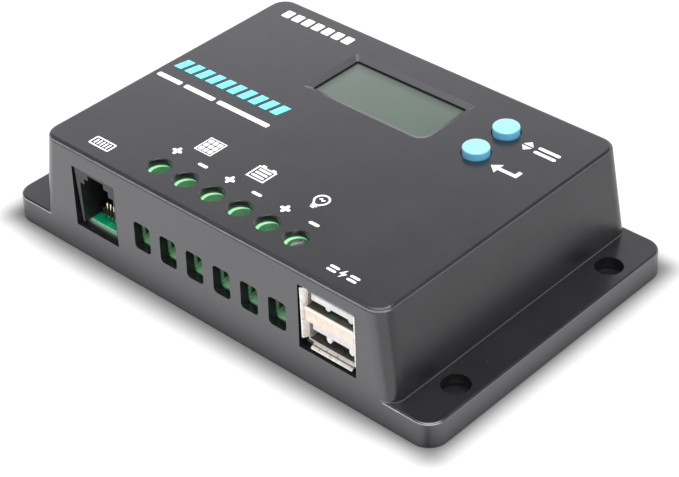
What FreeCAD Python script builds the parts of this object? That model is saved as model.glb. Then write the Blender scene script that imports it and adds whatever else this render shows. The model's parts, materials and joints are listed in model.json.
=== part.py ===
# Solar charge controller: moulded case with mounting flanges, base plate,
# circuit board, six-pole screw terminal block, data jack, double USB outlet,
# liquid-crystal display and two push buttons.
# Units are millimetres. Origin at the centre of the mounting plane, +Z up,
# +X along the long side, the connectors on the -Y face.
import FreeCAD, Part
import os
import math

os.makedirs("parts", exist_ok=True)
V = FreeCAD.Vector

# ---------------------------------------------------------------- dimensions
L_FLANGE = 119.0        # overall length over the two mounting flanges
W_BASE = 73.8           # depth at the mounting plane
H_TOP = 25.8            # height of the top face
T_FLANGE = 5.5          # flange thickness
L_BODY_BASE = 100.06    # body length where it meets the flanges
L_BODY_TOP = 94.3       # body length at the top face
DRAFT_Y = 0.74          # front and back draft over the full height
R_FLANGE = 4.3          # flange corner radius
R_BODY = 3.4            # body corner radius at the base
R_BODY_TOP = 3.9        # body corner radius at the top
R_TOP_EDGE = 0.9        # rounding of the top rim
R_FLANGE_EDGE = 0.5     # rounding of the flange rim
WALL = 2.0              # case wall
T_TOP = 2.0             # thickness of the top wall
T_PLATE = 2.0           # base plate thickness
PLATE_GAP = 0.15        # clearance round the base plate

MOUNT_X = 54.4          # mounting hole positions
MOUNT_Y = 23.9
MOUNT_R = 2.2           # through hole radius
MOUNT_CB_R = 3.0        # counterbore radius
MOUNT_CB_Z = 2.6        # height of the counterbore floor

PITCH = 7.62            # terminal pitch
POLES = 6
TERM_X0 = -18.45        # centre of the first pole
HOLE_DX = -0.70         # screwdriver hole centre relative to the pole
SLOT_DX = 0.67          # wire slot centre relative to the pole
TERM_Y = -28.95         # terminal screw axis
R_DRIVER = 2.55         # screwdriver hole radius
SLOT_W = 4.7           # wire slot width
SLOT_Z0, SLOT_Z1 = 9.35, 15.9

Z_PCB0, Z_PCB1 = 6.2, 7.8
BLOCK_Y0, BLOCK_Y1 = -34.05, -22.5
BLOCK_Z1 = 24.2
CAGE_Z0, CAGE_Z1 = 9.3, 18.2
SCREW_R = 1.6           # terminal screw thread radius
HEAD_R = 1.95           # terminal screw head radius
HEAD_T = 2.35
LIFT = 3.0              # how far a terminal screw backs out
OPEN_POLE = 5           # the pole whose screw stands backed out

LCD_X0, LCD_X1, LCD_Y0, LCD_Y1 = -17.45, 16.0, 11.3, 28.4
LCD_BEVEL_W = 1.45      # width of the window bevel
LCD_BEVEL_D = 0.7       # its depth
LCD_POCKET_Z = 24.35    # underside of the thin lip round the window
BTN_X = 26.88
BTN_Y = (24.75, 15.15)    # select, enter
BTN_R = 2.87
BTN_HOLE_R = 3.17
BTN_TOP = 27.4

RJ_X0, RJ_X1, RJ_Z0, RJ_Z1 = -38.4, -25.5, 6.75, 21.35
USB_X0, USB_X1, USB_Z0, USB_Z1 = 26.0, 40.75, 7.65, 22.5


# ------------------------------------------------------------------- helpers
def box(x0, x1, y0, y1, z0, z1):
    return Part.makeBox(x1 - x0, y1 - y0, z1 - z0, V(x0, y0, z0))


def cyl(x, y, z0, z1, r):
    return Part.makeCylinder(r, z1 - z0, V(x, y, z0), V(0, 0, 1))


def cyl_y(x, z, y0, y1, r):
    return Part.makeCylinder(r, y1 - y0, V(x, y0, z), V(0, 1, 0))


def cyl_x(y, z, x0, x1, r):
    return Part.makeCylinder(r, x1 - x0, V(x0, y, z), V(1, 0, 0))


def cone(x, y, z0, z1, r0, r1):
    return Part.makeCone(r0, r1, z1 - z0, V(x, y, z0), V(0, 0, 1))


def rwire(hx, hy, r, z, cx=0.0, cy=0.0):
    """Rounded rectangle wire of half-lengths hx, hy in the plane z."""
    k = r * (1 - math.sqrt(0.5))
    x0, x1, y0, y1 = cx - hx, cx + hx, cy - hy, cy + hy
    p = lambda x, y: V(x, y, z)
    e = [
        Part.makeLine(p(x0 + r, y0), p(x1 - r, y0)),
        Part.Arc(p(x1 - r, y0), p(x1 - k, y0 + k), p(x1, y0 + r)).toShape(),
        Part.makeLine(p(x1, y0 + r), p(x1, y1 - r)),
        Part.Arc(p(x1, y1 - r), p(x1 - k, y1 - k), p(x1 - r, y1)).toShape(),
        Part.makeLine(p(x1 - r, y1), p(x0 + r, y1)),
        Part.Arc(p(x0 + r, y1), p(x0 + k, y1 - k), p(x0, y1 - r)).toShape(),
        Part.makeLine(p(x0, y1 - r), p(x0, y0 + r)),
        Part.Arc(p(x0, y0 + r), p(x0 + k, y0 + k), p(x0 + r, y0)).toShape(),
    ]
    return Part.Wire(e)


def rwire4(x0, x1, y0, y1, z, rs):
    """Rectangle wire with its own corner radius at front left, front right, back right and back left."""
    c = 1 - math.sqrt(0.5)
    p = lambda x, y: V(x, y, z)
    a, b, d, g = rs
    return Part.Wire([
        Part.makeLine(p(x0 + a, y0), p(x1 - b, y0)),
        Part.Arc(p(x1 - b, y0), p(x1 - b * c, y0 + b * c), p(x1, y0 + b)).toShape(),
        Part.makeLine(p(x1, y0 + b), p(x1, y1 - d)),
        Part.Arc(p(x1, y1 - d), p(x1 - d * c, y1 - d * c), p(x1 - d, y1)).toShape(),
        Part.makeLine(p(x1 - d, y1), p(x0 + g, y1)),
        Part.Arc(p(x0 + g, y1), p(x0 + g * c, y1 - g * c), p(x0, y1 - g)).toShape(),
        Part.makeLine(p(x0, y1 - g), p(x0, y0 + a)),
        Part.Arc(p(x0, y0 + a), p(x0 + a * c, y0 + a * c), p(x0 + a, y0)).toShape(),
    ])


def loft(w0, w1):
    return Part.makeLoft([w0, w1], True, True)


def rbox(x0, x1, y0, y1, z0, z1, r):
    w = rwire((x1 - x0) / 2, (y1 - y0) / 2, r, z0, (x0 + x1) / 2, (y0 + y1) / 2)
    return Part.Face(w).extrude(V(0, 0, z1 - z0))


def rbox_y(x0, x1, y0, y1, z0, z1, r):
    """Box along Y whose cross-section in XZ has rounded corners."""
    b = box(x0, x1, y0, y1, z0, z1)
    es = [e for e in b.Edges
          if abs(e.Vertexes[0].X - e.Vertexes[1].X) < 1e-6
          and abs(e.Vertexes[0].Z - e.Vertexes[1].Z) < 1e-6]
    return b.makeFillet(r, es)


def save(name, *shapes):
    shapes = [s for s in shapes]
    for s in shapes:
        for so in s.Solids:
            if not so.isValid():
                raise RuntimeError("invalid solid in " + name)
    out = shapes[0] if len(shapes) == 1 and len(shapes[0].Solids) == 1 else Part.makeCompound(
        [so for s in shapes for so in s.Solids])
    out.exportStep("parts/%s.step" % name)
    print(name, len(out.Solids), round(sum(s.Volume for s in out.Solids), 1))


def pole_x(i):
    return TERM_X0 + PITCH * i


def y_front(z):
    return -W_BASE / 2 + DRAFT_Y * z / H_TOP


# ------------------------------------------------------------------- housing
slope = (L_BODY_BASE - L_BODY_TOP) / 2 / (H_TOP - T_FLANGE)
hx0 = L_BODY_BASE / 2 + slope * T_FLANGE
hy0 = W_BASE / 2

body = loft(rwire(hx0, hy0, R_BODY, 0), rwire(L_BODY_TOP / 2, hy0 - DRAFT_Y, R_BODY_TOP, H_TOP))
rim = [e for e in body.Edges if all(abs(v.Z - H_TOP) < 1e-6 for v in e.Vertexes)]
body = body.makeFillet(R_TOP_EDGE, rim)

dyf = DRAFT_Y * T_FLANGE / H_TOP
flange = loft(rwire(L_FLANGE / 2, hy0, R_FLANGE, 0),
              rwire(L_FLANGE / 2 - dyf, hy0 - dyf, R_FLANGE - dyf, T_FLANGE))
rim = [e for e in flange.Edges if all(abs(v.Z - T_FLANGE) < 1e-6 for v in e.Vertexes)]
flange = flange.makeFillet(R_FLANGE_EDGE, rim)

shell = body.fuse(flange)

# inside: a straight recess for the base plate, then the drafted cavity
PLATE_HX, PLATE_HY, PLATE_R = 48.9, 35.0, 3.6
recess = Part.Face(rwire(PLATE_HX, PLATE_HY, PLATE_R, -1)).extrude(V(0, 0, 1 + T_PLATE))
zc = H_TOP - T_TOP
cav = loft(rwire(hx0 - WALL - 1.4 - slope * T_PLATE, hy0 - WALL - 0.15, 2.2, T_PLATE - 0.01),
           rwire(hx0 - WALL - slope * zc, hy0 - WALL - DRAFT_Y, 2.2, zc))
shell = shell.cut(recess).cut(cav)

# bosses that take the base plate screws
BOSS_X, BOSS_Y = 43.4, 29.6
for sx in (-1, 1):
    for sy in (-1, 1):
        shell = shell.fuse(cyl(sx * BOSS_X, sy * BOSS_Y, T_PLATE, zc + 0.5, 3.1))
for sx in (-1, 1):
    for sy in (-1, 1):
        shell = shell.cut(cyl(sx * BOSS_X, sy * BOSS_Y, T_PLATE - 0.5, T_PLATE + 9.5, 1.25))

# flat on the boss beside the USB shell
shell = shell.cut(box(38.0, 40.8, -33.9, -19.2, T_PLATE + 1, zc))

# mounting holes
for sx in (-1, 1):
    for sy in (-1, 1):
        shell = shell.cut(cyl(sx * MOUNT_X, sy * MOUNT_Y, -1, T_FLANGE + 1, MOUNT_R))
        shell = shell.cut(cyl(sx * MOUNT_X, sy * MOUNT_Y, MOUNT_CB_Z, T_FLANGE + 1, MOUNT_CB_R))

# screwdriver holes with a small chamfer, and wire slots
for i in range(POLES):
    x = pole_x(i) + HOLE_DX
    shell = shell.cut(cyl(x, TERM_Y, zc - 1, H_TOP + 1, R_DRIVER))
    shell = shell.cut(cone(x, TERM_Y, H_TOP - 0.2, H_TOP + 0.05, R_DRIVER, R_DRIVER + 0.25))
    xs = pole_x(i) + SLOT_DX
    shell = shell.cut(rbox_y(xs - SLOT_W / 2, xs + SLOT_W / 2, -W_BASE / 2 - 1, -W_BASE / 2 + WALL + 3,
                             SLOT_Z0, SLOT_Z1, 0.9))

# shallow recess in the ceiling for the top of the terminal block
shell = shell.cut(box(pole_x(0) - PITCH / 2 - 0.25, pole_x(POLES - 1) + PITCH / 2 + 0.25, BLOCK_Y0 - 0.25, BLOCK_Y1 + 0.25,
                      zc - 0.01, BLOCK_Z1 + 0.1))

# data jack and USB openings
shell = shell.cut(box(RJ_X0, RJ_X1, -W_BASE / 2 - 1, -W_BASE / 2 + WALL + 3, RJ_Z0, RJ_Z1))
shell = shell.cut(box(USB_X0, USB_X1, -W_BASE / 2 - 1, -W_BASE / 2 + WALL + 3, USB_Z0, USB_Z1))

# display window: bevelled outside, straight inside
lcx, lcy = (LCD_X0 + LCD_X1) / 2, (LCD_Y0 + LCD_Y1) / 2
lhx, lhy = (LCD_X1 - LCD_X0) / 2, (LCD_Y1 - LCD_Y0) / 2
bw, bd = LCD_BEVEL_W, LCD_BEVEL_D
LCD_R_IN, LCD_R_OUT = (0.4, 2.2, 0.4, 0.4), (0.8, 3.0, 0.8, 0.8)
inner = rwire4(LCD_X0 + bw, LCD_X1 - bw, LCD_Y0 + bw, LCD_Y1 - bw, H_TOP - bd, LCD_R_IN)
win = loft(inner, rwire4(LCD_X0, LCD_X1, LCD_Y0, LCD_Y1, H_TOP, LCD_R_OUT))
win = win.fuse(Part.Face(inner).extrude(V(0, 0, -3.0)))
shell = shell.cut(win)
shell = shell.cut(box(LCD_X0 - 1.7, LCD_X1 + 1.7, LCD_Y0 - 1.9, LCD_Y1 + 2.1, zc - 1, LCD_POCKET_Z))

# button holes
for y in BTN_Y:
    shell = shell.cut(cyl(BTN_X, y, zc - 1, H_TOP + 1, BTN_HOLE_R))
shell = shell.removeSplitter()
save("housing", shell)

# ---------------------------------------------------------------- base plate
g = PLATE_GAP
plate = Part.Face(rwire(PLATE_HX - g, PLATE_HY - g, PLATE_R - g, 0)).extrude(V(0, 0, T_PLATE))
POSTS = [(-41.5, 14.0), (41.5, 4.0), (-41.8, -17.0), (41.5, -14.0)]
for x, y in POSTS:
    plate = plate.fuse(cyl(x, y, T_PLATE - 0.5, Z_PCB0, 2.9))
for x, y in POSTS:
    plate = plate.cut(cyl(x, y, T_PLATE + 0.8, Z_PCB0 + 1, 1.05))
for sx in (-1, 1):
    for sy in (-1, 1):
        plate = plate.cut(cyl(sx * BOSS_X, sy * BOSS_Y, -1, T_PLATE + 1, 1.6))
        plate = plate.cut(cone(sx * BOSS_X, sy * BOSS_Y, -0.01, 1.5, 2.9, 1.6))
# cooling slots
for k in range(7):
    for s in (-1, 1):
        x = -21.0 + 7.0 * k
        plate = plate.cut(rbox(x - 1.1, x + 1.1, s * 15.0 - 8.0, s * 15.0 + 8.0, -1, T_PLATE + 1, 1.0))
save("base_plate", plate.removeSplitter())

# countersunk screws that hold the plate
scr = []
for sx in (-1, 1):
    for sy in (-1, 1):
        x, y = sx * BOSS_X, sy * BOSS_Y
        s = cone(x, y, 0.15, 1.45, 2.65, 1.2).fuse(cyl(x, y, 1.4, T_PLATE + 8.5, 1.2))
        s = s.cut(box(x - 1.6, x + 1.6, y - 0.3, y + 0.3, 0.0, 0.8)).cut(
            box(x - 0.3, x + 0.3, y - 1.6, y + 1.6, 0.0, 0.8))
        scr.append(s)
save("plate_screws", *scr)

# ------------------------------------------------------------- circuit board
pcb = rbox(-45.2, 45.2, -34.2, 32.6, Z_PCB0, Z_PCB1, 2.0)
for sx in (-1, 1):
    for sy in (-1, 1):
        x, y = sx * BOSS_X, sy * BOSS_Y
        pcb = pcb.cut(cyl(x, y, Z_PCB0 - 1, Z_PCB1 + 1, 3.7))
        pcb = pcb.cut(box(min(x, x + sx * 8), max(x, x + sx * 8), y - 3.7, y + 3.7, Z_PCB0 - 1, Z_PCB1 + 1))
        pcb = pcb.cut(box(x - 3.7, x + 3.7, min(y, y + sy * 8), max(y, y + sy * 8), Z_PCB0 - 1, Z_PCB1 + 1))
for x, y in POSTS:
    pcb = pcb.cut(cyl(x, y, Z_PCB0 - 1, Z_PCB1 + 1, 1.4))
pcb_cuts = []

# screws that hold the board
scr = []
for x, y in POSTS:
    s = cyl(x, y, Z_PCB1, Z_PCB1 + 1.5, 2.3)
    s = s.makeFillet(0.6, [e for e in s.Edges if abs(e.BoundBox.ZMin - Z_PCB1 - 1.5) < 1e-6
                           and abs(e.BoundBox.ZMax - Z_PCB1 - 1.5) < 1e-6])
    s = s.fuse(cyl(x, y, Z_PCB0 - 3.2, Z_PCB1 + 0.2, 1.0))
    s = s.cut(box(x - 1.4, x + 1.4, y - 0.3, y + 0.3, Z_PCB1 + 0.8, Z_PCB1 + 2))
    s = s.cut(box(x - 0.3, x + 0.3, y - 1.4, y + 1.4, Z_PCB1 + 0.8, Z_PCB1 + 2))
    scr.append(s)
save("board_screws", *scr)

# ------------------------------------------------------------ terminal block
bx0 = pole_x(0) - PITCH / 2
bx1 = pole_x(POLES - 1) + PITCH / 2
block = box(bx0, bx1, BLOCK_Y0, BLOCK_Y1, Z_PCB1, BLOCK_Z1)
cages, pins = [], []
CX, CY0, CY1 = 3.0, -31.9, -25.4
for i in range(POLES):
    x = pole_x(i)
    # pocket for the metal cage, open downwards, wire entry and screw bore
    block = block.cut(box(x - CX - 0.1, x + CX + 0.1, CY0 - 0.1, CY1 + 0.1, Z_PCB1 - 1, CAGE_Z1 + 0.1))
    block = block.cut(rbox_y(x - 2.1, x + 2.6, BLOCK_Y0 - 1, CY0 + 0.5, 10.0, 15.3, 0.8))
    # sloping sill that guides the wire in
    sill = Part.Face(Part.makePolygon([V(x - 1.9, BLOCK_Y0 - 0.01, 9.2), V(x - 1.9, BLOCK_Y0 + 1.1, 10.01),
                                       V(x - 1.9, BLOCK_Y0 - 0.01, 10.01), V(x - 1.9, BLOCK_Y0 - 0.01, 9.2)]))
    block = block.cut(sill.extrude(V(4.3, 0, 0)))
    block = block.cut(cyl(x, TERM_Y, CAGE_Z1 - 0.5, BLOCK_Z1 + 1, 2.5))
    c = box(x - CX, x + CX, CY0, CY1, CAGE_Z0, CAGE_Z1)
    c = c.cut(box(x - 2.45, x + 2.45, CY0 - 1, CY1 + 1, 10.15, 15.9))
    c = c.cut(cyl(x, TERM_Y, 15, CAGE_Z1 + 1, SCREW_R + 0.06))
    c = c.fuse(box(x - 0.6, x + 0.6, -27.6, -26.4, Z_PCB0 - 1.4, CAGE_Z0 + 0.1))
    cages.append(c)
    pcb_cuts.append(cyl(x, -27.0, Z_PCB0 - 1, Z_PCB1 + 1, 1.0))
save("terminal_block", block.removeSplitter())
save("terminal_cages", *cages)

# screw: slotted cheese head over a threaded shank; the pad swivels under it
for i in range(POLES):
    x = pole_x(i)
    dz = LIFT if i == OPEN_POLE else 0.0
    zh = 19.0 + dz
    head = cyl(x, TERM_Y, zh, zh + HEAD_T, HEAD_R)
    head = head.makeFillet(0.35, [e for e in head.Edges if abs(e.BoundBox.ZMin - zh - HEAD_T) < 1e-6
                                  and abs(e.BoundBox.ZMax - zh - HEAD_T) < 1e-6])
    s = head.fuse(cyl(x, TERM_Y, 12.6 + dz, zh + 0.3, SCREW_R))
    a = math.radians(20 + 37 * i) if i != OPEN_POLE else math.radians(62)
    slot = box(-HEAD_R - 1, HEAD_R + 1, -0.42, 0.42, zh + HEAD_T - 0.95, zh + HEAD_T + 1)
    slot.rotate(V(0, 0, 0), V(0, 0, 1), math.degrees(a))
    slot.translate(V(x, TERM_Y, 0))
    s = s.cut(slot)
    save("terminal_screw_%d" % (i + 1), s)
    pad = rbox(x - 1.95, x + 1.95, TERM_Y - 2.3, TERM_Y + 2.3, 11.7 + dz, 12.5 + dz, 0.4)
    save("terminal_pad_%d" % (i + 1), pad)

# ----------------------------------------------------------------- data jack
# open underneath, with a stepped keyway for the plug's latch
JY0, JY1, JZ1 = -36.05, -19.0, 21.1
jx = -31.45
prof = Part.Face(Part.makePolygon([V(-37.0, JY0, Z_PCB1), V(-25.75, JY0, Z_PCB1), V(-25.75, JY0, JZ1),
                                   V(-37.85, JY0, JZ1), V(-37.0, JY0, Z_PCB1)]))
jack = prof.extrude(V(0, JY1 - JY0, 0))
jack = jack.cut(box(jx - 5.05, jx + 5.05, JY0 - 1, JY1 - 3.0, Z_PCB1 - 1, 17.85))
jack = jack.cut(box(jx - 3.65, jx + 3.65, JY0 - 1, JY1 - 5.0, 17.8, 19.25))
jack = jack.cut(box(jx - 2.4, jx + 2.4, JY0 - 1, JY1 - 5.0, 19.2, 20.55))
save("data_jack", jack.removeSplitter())

# comb that carries the contacts, and the sprung contact wires
comb = box(jx - 4.95, jx + 4.95, -31.6, JY1 - 3.1, Z_PCB1, 9.6)
comb = comb.fuse(box(jx - 2.3, jx + 4.95, -33.1, -31.0, 9.5, 11.2))
wires = []
for k in range(4):
    x = jx + (k - 1.5) * 1.02
    rise = Part.makeCylinder(0.28, 3.7, V(x, -32.4, 8.5), V(0, 0, 1))
    p0, p1 = V(x, -32.4, 12.2), V(x, -24.4, 14.5)
    run = Part.makeCylinder(0.22, (p1 - p0).Length, p0, p1 - p0)
    foot = Part.makeCylinder(0.22, 1.4, V(x, -32.4, 8.5), V(0, 1, 0))
    w = rise.fuse([run, foot, Part.makeSphere(0.22, p0), Part.makeSphere(0.28, V(x, -32.4, 8.5))])
    comb = comb.cut(box(x - 0.33, x + 0.33, -33.2, -30.8, 8.1, 11.4))
    wires.append(w)
save("jack_comb", comb.removeSplitter())
save("jack_contacts", *wires)

# ---------------------------------------------------------------- USB outlet
# folded shell with a flared flap on each side of the mouth
UX0, UX1, UZ0, UZ1 = 27.3, 40.45, 9.3, 23.65
UY0, UYB, UY1 = -36.4, -35.2, -19.5
ut = 0.35
um = (UX0 + UX1) / 2
ushell = box(UX0, UX1, UYB, UY1, UZ0, UZ1)
ushell = ushell.cut(box(UX0 + ut, UX1 - ut, UYB - 1, UY1 - ut, UZ0 + ut, UZ1 - ut))


def prism(pts, d):
    w = Part.makePolygon([V(*p) for p in pts] + [V(*pts[0])])
    return Part.Face(w).extrude(V(*d))


fl, fr, fb = 0.68, 0.22, 0.85
ushell = ushell.fuse(prism([(UX0, UYB + 0.05, 10.1), (UX0 + ut, UYB + 0.05, 10.1), (UX0 + ut - fl, UY0, 10.1),
                            (UX0 - fl, UY0, 10.1)], (0, 0, 12.0)))
ushell = ushell.fuse(prism([(UX1 - ut, UYB + 0.05, 10.1), (UX1, UYB + 0.05, 10.1), (UX1 + fr, UY0, 10.1),
                            (UX1 + fr - ut, UY0, 10.1)], (0, 0, 12.0)))
ushell = ushell.fuse(prism([(28.9, UYB + 0.05, UZ0), (28.9, UYB + 0.05, UZ0 + ut), (28.9, UY0, UZ0 + ut - fb),
                            (28.9, UY0, UZ0 - fb)], (10.6, 0, 0)))
# feet that reach through the board
usb_feet = []
for x in (UX0, UX1 - ut):
    for y in (-33.5, -22.0):
        ushell = ushell.fuse(box(x, x + ut, y, y + 2.0, Z_PCB0 - 1.2, UZ0 + 0.2))
        usb_feet.append(box(x - 0.3, x + ut + 0.3, y - 0.3, y + 2.3, Z_PCB0 - 1, Z_PCB1 + 1))
# the top edge stops short of the front wall
ushell = ushell.cut(box(UX0 - 1, UX1 + 1, UY0 - 1, -33.95, USB_Z1 - 0.3, UZ1 + 1))
save("usb_shell", ushell.removeSplitter())

UZM0, UZM1 = 14.75, 17.55       # divider between the two ports
g = 0.05
ins = box(UX0 + ut + g, UX1 - ut - g, -36.2, UY1 - ut - g, UZM0, UZM1)
ins = ins.fuse(box(UX0 + ut + g, UX1 - ut - g, -36.3, -30.0, UZM1 - 0.05, UZM1 + 0.35))
ins = ins.fuse(box(UX0 + ut + g, UX1 - ut - g, -25.4, UY1 - ut - g, UZ0 + ut + g, UZ1 - ut - g))
save("usb_insulator", ins.removeSplitter())
TONGUE_W, TONGUE_Y, TONGUE_T = 11.1, -35.2, 1.85
tz = (12.1, 19.2)
tongue_bump = (0.55, 0.0)
tongues = []
for z, bz in zip(tz, tongue_bump):
    t = box(um - TONGUE_W / 2, um + TONGUE_W / 2, TONGUE_Y, -25.4, z, z + TONGUE_T)
    t = t.makeFillet(0.4, [e for e in t.Edges if abs(e.BoundBox.YMin - TONGUE_Y) < 1e-6
                           and abs(e.BoundBox.YMax - TONGUE_Y) < 1e-6])
    for xb in (32.6, 38.4):
        b = cyl_y(xb, z - bz, TONGUE_Y + 0.15, TONGUE_Y + 1.9, 0.65)
        b = b.fuse(box(xb - 0.65, xb + 0.65, TONGUE_Y + 0.15, TONGUE_Y + 1.9, z - bz, z + 0.5))
        t = t.fuse(b)
    tongues.append(t.removeSplitter())
save("usb_tongues", *tongues)

con = []
for z in tz:
    for xk in (um - 3.5, um - 1.0, um + 1.0, um + 3.5):
        con.append(box(xk - 0.4, xk + 0.4, TONGUE_Y + 2.2, -25.45, z - 0.2, z))
save("usb_contacts", *con)

# ------------------------------------------------------------------- display
# glass sandwich in a moulded frame with a light guide behind
lx0, lx1, ly0, ly1 = LCD_X0 - 1.4, LCD_X1 + 1.4, LCD_Y0 - 1.6, LCD_Y1 + 1.8
frame = rbox(lx0, lx1, ly0, ly1, 19.8, LCD_POCKET_Z - 0.05, 0.6)
frame = frame.cut(box(lx0 + 1.0, lx1 - 1.0, ly0 + 1.0, ly1 - 1.0, 21.0, zc + 2))
save("display_frame", frame)
save("display_light_guide", box(lx0 + 1.1, lx1 - 1.1, ly0 + 1.1, ly1 - 1.1, 21.0, 22.3))
glass = box(lx0 + 1.1, lx1 - 1.1, ly0 + 1.1, ly1 - 1.1, 22.35, 24.2)
gi = bw + 0.12
pane = Part.Face(rwire4(LCD_X0 + gi, LCD_X1 - gi, LCD_Y0 + gi, LCD_Y1 - gi, 24.1,
                        tuple(r - 0.1 for r in LCD_R_IN))).extrude(V(0, 0, 0.62))
save("display_glass", glass.fuse(pane).removeSplitter())
pn = []
for k in range(12):
    x = lcx + (k - 5.5) * 2.2
    pn.append(box(x - 0.25, x + 0.25, ly1 - 0.75, ly1 - 0.25, Z_PCB0 - 1.2, 19.8))
    pcb_cuts.append(cyl(x, ly1 - 0.5, Z_PCB0 - 1, Z_PCB1 + 1, 0.45))
save("display_pins", *pn)

# ------------------------------------------------------------------- buttons
names = ("select", "enter")
for n, y in zip(names, BTN_Y):
    c = cyl(BTN_X, y, 19.7, BTN_TOP, BTN_R)
    c = c.makeFillet(0.35, [e for e in c.Edges if abs(e.BoundBox.ZMin - BTN_TOP) < 1e-6
                           and abs(e.BoundBox.ZMax - BTN_TOP) < 1e-6])
    c = c.fuse(cyl(BTN_X, y, 21.9, 23.5, 3.9))
    c = c.cut(cyl(BTN_X, y, 19.0, 21.0, 1.75))
    save(n + "_button", c.removeSplitter())
    save(n + "_plunger", cyl(BTN_X, y, 9.1, 21.0, 1.7))
    sw = rbox(BTN_X - 3.0, BTN_X + 3.0, y - 3.0, y + 3.0, Z_PCB1, 11.4, 0.4)
    sw = sw.cut(cyl(BTN_X, y, 8.2, 13, 1.78))
    save(n + "_switch", sw)
legs = []
for y in BTN_Y:
    for sx in (-1, 1):
        for sy in (-1, 1):
            x = BTN_X + sx * 3.3
            legs.append(box(x - 0.2, x + 0.2, y + sy * 2.2 - 0.35, y + sy * 2.2 + 0.35, Z_PCB0 - 1.0, 9.6))
            pcb_cuts.append(cyl(x, y + sy * 2.2, Z_PCB0 - 1, Z_PCB1 + 1, 0.6))
save("switch_legs", *legs)

# ------------------------------------------------------- parts on the board
# standing electrolytic capacitors with a bead near the seal
caps, sleeves = [], []
for x, y, r, h in ((-33.0, 22.0, 5.0, 12.5), (-33.0, 9.5, 5.0, 12.5), (36.5, -6.5, 4.0, 11.5)):
    c = cyl(x, y, Z_PCB1, Z_PCB1 + h, r)
    c = c.makeFillet(0.5, [e for e in c.Edges if abs(e.BoundBox.ZMin - Z_PCB1 - h) < 1e-6
                           and abs(e.BoundBox.ZMax - Z_PCB1 - h) < 1e-6])
    ring = Part.makeTorus(r + 0.25, 0.55, V(x, y, Z_PCB1 + 1.8), V(0, 0, 1))
    c = c.cut(ring)
    for a in (0, 60, 120):
        s = box(-r * 0.7, r * 0.7, -0.1, 0.1, Z_PCB1 + h - 0.15, Z_PCB1 + h + 1)
        s.rotate(V(0, 0, 0), V(0, 0, 1), a)
        s.translate(V(x, y, 0))
        c = c.cut(s)
    caps.append(c)
save("capacitors", *caps)

# toroidal choke: ferrite ring with a wound copper coil
TX, TY = -33.5, -9.0
core = Part.makeTorus(5.2, 1.8, V(TX, TY, Z_PCB1 + 2.8), V(0, 0, 1))
save("choke_core", core)
turns = []
for k in range(14):
    a = 2 * math.pi * k / 16
    t = Part.makeTorus(2.5, 0.42, V(0, 0, 0), V(0, 1, 0))
    t.translate(V(5.2, 0, 0))
    t.rotate(V(0, 0, 0), V(0, 0, 1), math.degrees(a))
    t.translate(V(TX, TY, Z_PCB1 + 2.8 + 0.25))
    turns.append(t)
save("choke_winding", *turns)

# power transistors lying on the board under a heat spreader
mos, tabs, leads = [], [], []
for k in range(4):
    x = -15.5 + 10.9 * k
    mos.append(box(x - 5.0, x + 5.0, -13.0, -4.0, Z_PCB1 + 1.35, Z_PCB1 + 4.4))
    tb = box(x - 5.0, x + 5.0, -13.0, 2.4, Z_PCB1, Z_PCB1 + 1.3)
    tb = tb.cut(cyl(x, -0.6, Z_PCB1 - 1, Z_PCB1 + 3, 1.8))
    tabs.append(tb)
    for j in (-1, 0, 1):
        xl = x + 2.54 * j
        leads.append(box(xl - 0.4, xl + 0.4, -15.8, -13.0, Z_PCB1 + 2.2, Z_PCB1 + 2.7).fuse(
            box(xl - 0.4, xl + 0.4, -16.3, -15.7, Z_PCB0 - 1.0, Z_PCB1 + 2.7)))
        pcb_cuts.append(cyl(xl, -16.0, Z_PCB0 - 1, Z_PCB1 + 1, 0.65))
save("transistors", *mos)
save("transistor_tabs", *tabs)
save("transistor_leads", *leads)
spreader = rbox(-21.0, 22.5, -12.6, -4.4, Z_PCB1 + 4.45, Z_PCB1 + 6.2, 0.5)
for k in range(6):
    x = -18.9 + 8.1 * k
    spreader = spreader.fuse(box(x - 0.5, x + 0.5, -12.4, -4.6, Z_PCB1 + 6.0, Z_PCB1 + 10.6))
save("heat_spreader", spreader.removeSplitter())

# controller chip in a flat package
mx, my_ = 4.0, 14.5
chip = box(mx - 5, mx + 5, my_ - 5, my_ + 5, Z_PCB1 + 0.1, Z_PCB1 + 1.5)
chip = chip.cut(cyl(mx - 3.8, my_ - 3.8, Z_PCB1 + 1.4, Z_PCB1 + 2, 0.5))
save("controller_chip", chip)
lg = []
for k in range(10):
    o = (k - 4.5) * 0.8
    for s in (-1, 1):
        lg.append(box(min(mx + s * 5, mx + s * 6), max(mx + s * 5, mx + s * 6), my_ + o - 0.17, my_ + o + 0.17,
                      Z_PCB1, Z_PCB1 + 0.5))
        lg.append(box(mx + o - 0.17, mx + o + 0.17, min(my_ + s * 5, my_ + s * 6), max(my_ + s * 5, my_ + s * 6),
                      Z_PCB1, Z_PCB1 + 0.5))
save("chip_legs", *lg)

# diodes, shunt, crystal and small parts
dio = []
for k in range(3):
    y = 18.0 + 4.6 * k
    dio.append(cyl_x(y, Z_PCB1 + 1.5, -16.0, -9.0, 1.4))
save("diodes", *dio)
dl = []
for k in range(3):
    y = 18.0 + 4.6 * k
    for x0, x1 in ((-18.5, -16.0), (-9.0, -6.5)):
        dl.append(cyl_x(y, Z_PCB1 + 1.5, x0, x1, 0.4))
save("diode_leads", *dl)
shunt = box(26.0, 27.0, -12.5, -11.0, Z_PCB0 - 0.8, Z_PCB1 + 5.5)
shunt = shunt.fuse(box(26.0, 27.0, 2.0, 3.5, Z_PCB0 - 0.8, Z_PCB1 + 5.5))
shunt = shunt.fuse(box(26.0, 27.0, -12.5, 3.5, Z_PCB1 + 4.3, Z_PCB1 + 5.5))
save("current_shunt", shunt.removeSplitter())
pcb_cuts.append(box(25.8, 27.2, -12.7, -10.8, Z_PCB0 - 1, Z_PCB1 + 1))
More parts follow.
